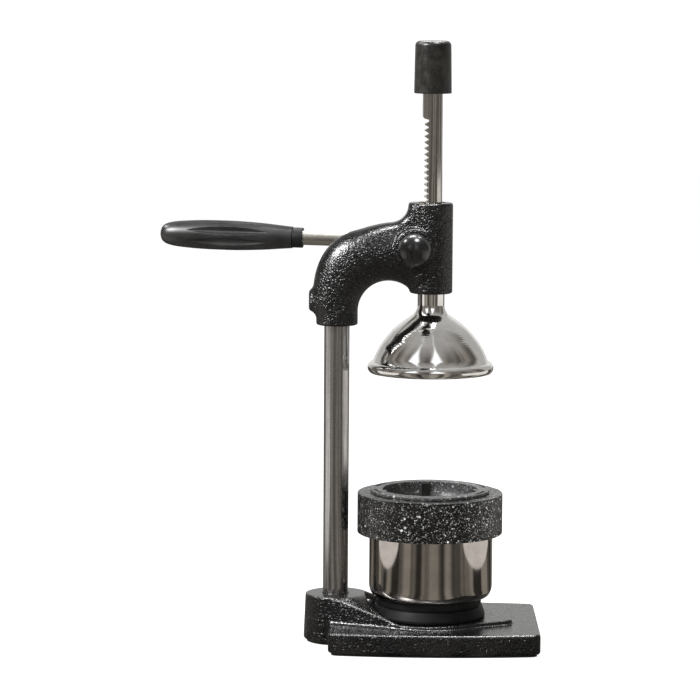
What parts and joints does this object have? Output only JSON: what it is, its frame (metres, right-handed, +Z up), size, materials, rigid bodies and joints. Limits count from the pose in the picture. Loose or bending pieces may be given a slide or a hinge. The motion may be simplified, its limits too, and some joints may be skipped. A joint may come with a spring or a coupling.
{
  "type": "hand citrus press",
  "caption": "Lever citrus juicer: cast base, steel column, arched head, rack rod with bell, speckled strainer on a steel cup.",
  "frame": {"origin": "on the surface the press stands on, under the press rod's axis, on the rubber sheet's underside", "axes": "+Z up along the press rod; -X towards the column; -Y is the side of the ball knob and +Y the side of the lever"},
  "size_m": [0.3054, 0.1557, 0.4768],
  "materials": {
    "hammered_paint": "hammered gloss paint on cast iron",
    "satin_steel": "satin",
    "polished_steel": "polished",
    "polished_aluminium": "mirror polished",
    "stainless": "bright stainless",
    "zinc_steel": "zinc plated",
    "bronze": "turned bronze",
    "black_rubber": "matte",
    "seat_plastic": "satin",
    "grip_plastic": "satin",
    "knob_plastic": "glossy",
    "speckled_plastic": "satin with pale specks"
  },
  "bodies": {
    "frame": {"base_casting": "hammered_paint", "base_rubber_sheet": "black_rubber", "column": "satin_steel", "column_bolt": "zinc_steel", "column_washer": "zinc_steel", "base_clamp_screw": "zinc_steel", "head_casting": "hammered_paint", "head_clamp_screw": "zinc_steel", "rod_bush_lower": "bronze", "rod_bush_upper": "bronze", "shaft_bush_front": "bronze", "shaft_bush_rear": "bronze", "cup_seat": "seat_plastic", "cup_seat_screw": "zinc_steel"},
    "lever": {"pinion_shaft": "polished_steel", "thrust_washer": "bronze", "ball_knob": "knob_plastic", "lever_hub": "satin_steel", "lever_lock_nut": "zinc_steel", "lever_end_nut": "zinc_steel", "lever_rod": "satin_steel", "grip_ferrule": "seat_plastic", "lever_grip": "grip_plastic"},
    "press": {"rack_rod": "polished_steel", "rod_cap": "black_rubber", "bell": "polished_aluminium", "bell_washer": "zinc_steel", "bell_bolt": "zinc_steel"},
    "cup": {"cup": "stainless"},
    "strainer": {"strainer_ring": "speckled_plastic", "strainer_insert": "speckled_plastic", "strainer_plate": "stainless"}
  },
  "joints": [
    {"name": "lever_turn", "type": "hinge", "parent": "frame", "child": "lever", "pos_m": [-0.0138, 0, 0.315], "axis": [0, 1, 0], "range_deg": [0, 540]},
    {"name": "rod_slide", "type": "slide", "parent": "frame", "child": "press", "axis": [0, 0, -1], "range_m": [0, 0.085]},
    {"name": "cup_slide", "type": "slide", "parent": "frame", "child": "cup", "axis": [1, 0, 0], "range_m": [0, 0.12]},
    {"name": "strainer_turn", "type": "hinge", "parent": "cup", "child": "strainer", "pos_m": [0.0006, 0, 0.1], "axis": [0, 0, 1], "continuous": true}
  ],
  "couplings": [
    {"joint": "rod_slide", "follows": "lever_turn", "m_per_rad": 0.009}
  ]
}
